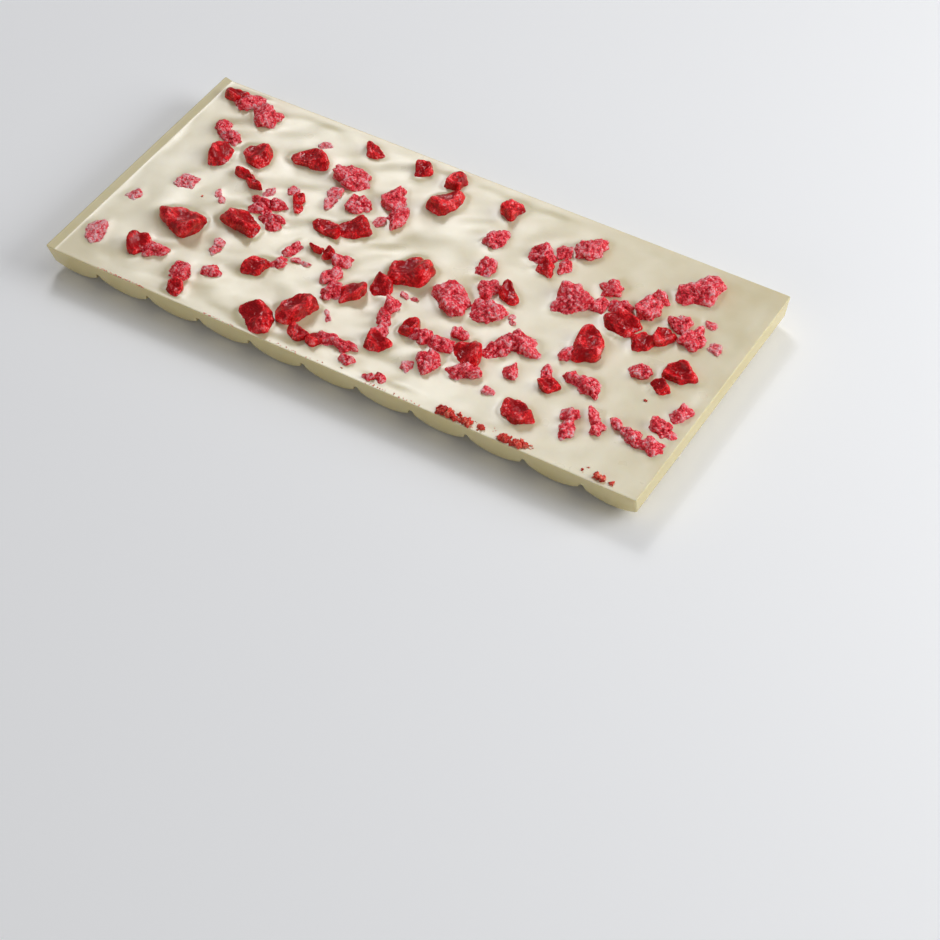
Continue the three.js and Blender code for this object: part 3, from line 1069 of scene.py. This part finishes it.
@dataclass
class RaspberryPieces:
    """All the pieces of one kind as one mesh, with their broken and frosted surfaces."""

    name: str
    kind: Kind
    face: RaspberryFace
    scatter: Scatter
    slab: ChocolateSlab
    points_to_area: float = 38.0
    fewest_points: int = 400
    most_points: int = 2800
    count_step: int = 200
    dish_depth: float = 0.5
    dish_width: float = 0.3
    dish_shift: float = 0.1
    dish_steepness: float = 1.5
    dish_turn: float = 2.4
    seed_step: tuple[float, float, float] = (31.7, 17.3, 5.9)
    tear_octaves: tuple[float, float, int] = (0.9, 2.2, 3)
    patch_size: float = 2.6
    patch_base: float = 0.1
    patch_share: float = 2.1
    patch_on_rim: float = 0.9
    patch_in_hollow: float = -0.6
    skin_share: float = 0.3
    broken_share: float = 0.7
    # How much paler the tops of the lumps, grains and tears are than their low places: partly real frost,
    # partly painted shade and highlight.
    grain_frost: float = 0.8
    lump_frost: float = 0.45
    tear_frost: float = 0.3
    # Painted shade: how much darker a chunk's hollow is.
    hollow_frost: float = -0.3
    rim_frost: float = 0.2
    full_relief_size: float = 6.0
    grain_sink: float = 0.2
    lump_sink: float = 0.1

    def ball_for(self, piece: Fragment) -> tuple[np.ndarray, list]:
        """Returns the ball that a piece is shaped from, with more points for a larger piece."""
        wished = piece.length * piece.breadth * self.points_to_area
        held = np.clip(wished, self.fewest_points, self.most_points)
        return unit_ball(round(held / self.count_step) * self.count_step)

    def dish(self, points: np.ndarray, piece: Fragment, turn: float) -> np.ndarray:
        """Sinks the top of a piece, as the hollow of a berry.

        Args:
            points: The piece's points, which are changed.
            piece: The piece.
            turn: Which way the hollow lies from the middle, in radians.

        Returns:
            How far into the hollow each point lies, from 0 to 1.
        """
        off_x = points[:, 0] / piece.length - self.dish_shift * math.cos(turn)
        off_y = points[:, 1] / piece.breadth - self.dish_shift * math.sin(turn)
        off_middle = (off_x**2 + off_y**2) / self.dish_width**2
        hollow = np.exp(-(off_middle**self.dish_steepness)) * (points[:, 2] > 0)
        points[:, 2] *= 1 - self.dish_depth * hollow
        return hollow

    def roughen(
        self, points: np.ndarray, hollow: np.ndarray, seed: float
    ) -> tuple[np.ndarray, np.ndarray]:
        """Breaks up a piece's surface into lumps, tears and grains.

        Args:
            points: The piece's points.
            hollow: How far into the piece's hollow each point lies.
            seed: A number that no other piece has.

        Returns:
            The points with relief, and the frost on each of them, which also holds painted shade: darker
            in the low places and in a chunk's hollow, paler on the tops.
        """
        look = self.kind.value
        relief = np.zeros(len(points))
        frost = np.zeros(len(points))
        offset = Vector([seed * step for step in self.seed_step])
        for i, point in enumerate(points):
            place = Vector(point)
            lump = 0.5 - noise.voronoi(place / look.lump_size + offset)[0][0] ** 2
            grain = 0.5 - noise.voronoi(place / look.grain_size + offset)[0][0]
            tear = noise.fractal(place / look.tear_size + offset, *self.tear_octaves)
            granular = 1.0
            if self.kind is Kind.CHUNK:
                patch = noise.noise(place / self.patch_size - offset)
                rim = 4.0 * hollow[i] * (1.0 - hollow[i])
                granular = self.patch_base + self.patch_share * patch + self.patch_on_rim * rim
                granular = min(1.0, max(0.0, granular + self.patch_in_hollow * hollow[i]))
                frost[i] = self.rim_frost * granular
            shown = self.skin_share + self.broken_share * granular
            relief[i] = look.lump_depth * lump + look.tear_depth * tear + look.grain_depth * grain * shown
            # The frost rises with the relief's height: real frost together with painted shade in the low
            # places and painted highlight on the tops.
            frost[i] += (look.frost + self.grain_frost * grain) * shown
            # A chunk's hollow is darkened by painted shade.
            frost[i] += self.lump_frost * lump + self.tear_frost * tear + self.hollow_frost * hollow[i]
        relief *= min(1.0, np.ptp(points[:, :2], axis=0).mean() / self.full_relief_size)
        relief -= self.grain_sink * look.grain_depth + self.lump_sink * look.lump_depth
        outward = points / np.maximum(np.linalg.norm(points, axis=1, keepdims=True), TINY)
        rough = points + outward * relief[:, None]
        rough[:, 2] *= min(1.0, points[:, 2].max() / rough[:, 2].max())
        return rough, frost

    def build(self) -> bpy.types.Object:
        """Returns the finished pieces."""
        bodies = []
        highest = CAD_BOX[1][2] / MM
        for index, piece in enumerate(self.scatter.fragments):
            if piece.kind is not self.kind:
                continue
            ball, ball_faces = self.ball_for(piece)
            body = piece.shape(ball)
            hollow = np.zeros(len(body))
            if self.kind is Kind.CHUNK:
                hollow = self.dish(body, piece, index * self.dish_turn)
            body, frost = self.roughen(body, hollow, index + 1)
            turn = Matrix.Rotation(piece.heading, 3, "Z")
            body = body @ np.array(turn).T
            lift = self.slab.undulation(np.array([piece.x]), np.array([piece.y]))[0]
            body += (piece.x, piece.y, self.slab.bed_z + lift - piece.SINK)
            body[:, 2] *= min(1.0, highest / body[:, 2].max())
            bodies.append((body, ball_faces, frost))
        made = make_raspberry(self.name, self.face, bodies)
        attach(made, BODY)
        return made


@dataclass
class RaspberryCrumbs:
    """The powder and small crumbs of raspberry, most of it along the front edge.

    Each patch gives where it starts and ends along the bar, the same across it, how many
    crumbs it has and how large the largest of them is.
    """

    face: RaspberryFace
    slab: ChocolateSlab
    patches: tuple[tuple[float, float, float, float, int, float], ...] = (
        (29.5, 34.5, -35.8, -33.6, 34, 2.1), (34.0, 41.0, -36.2, -34.2, 48, 2.3),
        (43.0, 47.0, -35.4, -33.6, 10, 1.0), (46.5, 54.0, -36.1, -34.0, 36, 2.0),
        (65.5, 70.0, -35.4, -33.4, 7, 0.8), (70.0, 71.8, -36.0, -34.8, 9, 1.8),
        (73.4, 75.0, -35.9, -34.8, 6, 2.1), (-58.6, -59.2, -3.2, -3.6, 3, 1.0),
        (3.2, 3.8, -35.6, -35.2, 2, 0.9), (67.8, 68.2, -9.8, -9.4, 3, 0.9),
        (-65.5, -51.5, -36.8, -36.4, 60, 0.3), (-34.5, -25.5, -36.8, -36.3, 26, 0.3),
        (-16.0, -1.0, -36.7, -36.0, 16, 0.35), (7.0, 26.0, -36.7, -36.0, 22, 0.4),
    )
    ball_points: int = 80
    edge_gap: float = 0.1
    smallest: float = 0.2
    size_spread: float = 3.0
    stretch: tuple[float, float] = (0.3, 0.6)
    flatness: float = 0.7
    lumpiness: float = 1.1
    lumps_across: float = 1.8
    perch: float = 0.1
    powder_under: float = 0.6
    powder_frost: float = 0.85
    least_frost: float = 0.1
    frost_spread: float = 0.5
    seed: int = 733

    def build(self) -> bpy.types.Object:
        """Returns the crumbs as one mesh."""
        series = Series(self.seed)
        ball, ball_faces = unit_ball(self.ball_points)
        bodies = []
        for x0, x1, y0, y1, count, largest in self.patches:
            for _ in range(count):
                place = [series.between(x0, x1), series.between(y0, y1)]
                size = self.smallest + (largest - self.smallest) * series.draw() ** self.size_spread
                stretch = [size * series.between(*self.stretch) for _ in range(3)]
                stretch[2] *= self.flatness
                own = Vector((*place, 0.0))
                lumps = np.array([noise.noise(Vector(point) * self.lumps_across + own) for point in ball])
                body = ball * stretch * (1 + self.lumpiness * lumps)[:, None]
                place[1] = max(place[1], self.edge_gap - self.slab.width / 2 - body[:, 1].min())
                surface = self.slab.back_height(np.array([place[0]]), np.array([place[1]]))[0]
                body += (*place, surface + self.perch * size)
                frost = self.powder_frost
                if size > self.powder_under:
                    frost = self.least_frost + self.frost_spread * series.draw()
                bodies.append((body, ball_faces, np.full(len(ball), frost)))
        made = make_raspberry("raspberry_crumbs", self.face, bodies)
        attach(made, BODY)
        return made


@dataclass(frozen=True)
class SoftLight:
    """A glowing rectangle: where it hangs, what it points at, its width and height, and its watts."""

    place: tuple[float, float, float]
    aim: tuple[float, float, float]
    size: tuple[float, float]
    power: float
    colour: tuple[float, float, float]

    def hang(self, name: str) -> None:
        """Hangs the light.

        Args:
            name: Its name.
        """
        light = bpy.data.lights.new(name, "AREA")
        light.shape = "RECTANGLE"
        light.size, light.size_y = (side * MM for side in self.size)
        light.energy = self.power
        light.color = self.colour
        lamp = bpy.data.objects.new(name, light)
        bpy.context.scene.collection.objects.link(lamp)
        place, aim = Vector(self.place), Vector(self.aim)
        lamp.location = place * MM
        lamp.rotation_euler = (aim - place).to_track_quat("-Z", "Y").to_euler()


class Lamp(Enum):
    """The lights of the studio: two behind the bar that its back mirrors, and three that fill."""

    KEY = SoftLight((-600, 800, 960), (-20, 0, 0), (420, 480), power=4.5, colour=(0.97, 0.98, 1.0))
    SPARK = SoftLight((-640, 780, 990), (-40, 0, 0), (60, 60), power=1.0, colour=(1.0, 1.0, 1.0))
    RIGHT_FILL = SoftLight((560, 230, 300), (0, 0, 0), (460, 300), power=2.7, colour=(0.96, 0.98, 1.0))
    OVERHEAD = SoftLight((400, 240, 760), (0, 0, 0), (800, 600), power=1.45, colour=(1.0, 0.98, 0.93))
    FRONT_FILL = SoftLight((-180, -900, 260), (0, 0, 0), (700, 360), power=1.1, colour=(1.0, 0.98, 0.94))


@dataclass
class Studio:
    """The pale floor, the soft lights and the camera."""

    lens: float = 92.99
    sensor: float = 36.0
    camera_place: tuple[float, float, float] = (243.1, -344.8, 399.7)
    camera_aim: tuple[float, float, float] = (45.3, -47.2, 8.0)
    camera_roll: float = -2.41
    floor_size: float = 6000.0
    floor_colour: tuple[float, float, float, float] = (0.95, 0.95, 0.96, 1.0)
    floor_roughness: float = 0.9
    floor_gloss: float = 0.1
    air_colour: tuple[float, float, float, float] = (0.93, 0.95, 1.0, 1.0)
    air_strength: float = 0.2

    def floor(self) -> None:
        """Lays the pale floor that the bar rests on."""
        made = Nodes("pale_floor")
        made.shader.inputs["Base Color"].default_value = self.floor_colour
        made.shader.inputs["Roughness"].default_value = self.floor_roughness
        made.shader.inputs["Specular IOR Level"].default_value = self.floor_gloss
        half = self.floor_size / 2
        corners = np.array([(-half, -half, 0), (half, -half, 0), (half, half, 0), (-half, half, 0)])
        make_object("floor", corners, [[0, 1, 2, 3]], made.material)

    def lights(self) -> None:
        """Hangs the soft lights and sets the pale surroundings."""
        for lamp in Lamp:
            lamp.value.hang(lamp.name.lower())
        world = bpy.data.worlds.new("studio")
        bpy.context.scene.world = world
        world.use_nodes = True
        air = world.node_tree.nodes["Background"]
        air.inputs["Color"].default_value = self.air_colour
        air.inputs["Strength"].default_value = self.air_strength
        bpy.context.scene.view_settings.view_transform = "Standard"

    def camera(self) -> None:
        """Sets up the camera at the viewing angle."""
        data = bpy.data.cameras.new("camera")
        data.lens = self.lens
        data.sensor_width = self.sensor
        camera = bpy.data.objects.new("camera", data)
        bpy.context.scene.collection.objects.link(camera)
        place, aim = Vector(self.camera_place), Vector(self.camera_aim)
        look = (aim - place).to_track_quat("-Z", "Y").to_matrix()
        roll = Matrix.Rotation(math.radians(self.camera_roll), 3, "Z")
        camera.matrix_world = Matrix.Translation(place * MM) @ (look @ roll).to_4x4()
        bpy.context.scene.camera = camera

    def build(self) -> None:
        """Sets up the whole studio."""
        self.camera()
        self.floor()
        self.lights()


def main() -> None:
    """Builds the bar, its raspberry and the studio in order, and reports each piece."""
    logging.basicConfig(level=logging.INFO, format="%(name)s: %(message)s")
    Studio().build()
    scatter = Scatter()
    slab = ChocolateSlab(scatter)
    pieces = [slab.build()]
    for name, kind, face in (
        ("raspberry_chunks", Kind.CHUNK, RaspberryFace.SKIN),
        ("raspberry_crumble", Kind.CRUMBLE, RaspberryFace.BROKEN),
        ("raspberry_flakes", Kind.FLAKE, RaspberryFace.DUSTY),
    ):
        pieces.append(RaspberryPieces(name, kind, face, scatter, slab).build())
    pieces.append(RaspberryCrumbs(RaspberryFace.POWDER, slab).build())
    for piece in pieces:
        LOG.info("%s: %d faces", piece.name, len(piece.data.polygons))


if __name__ == "__main__":
    main()
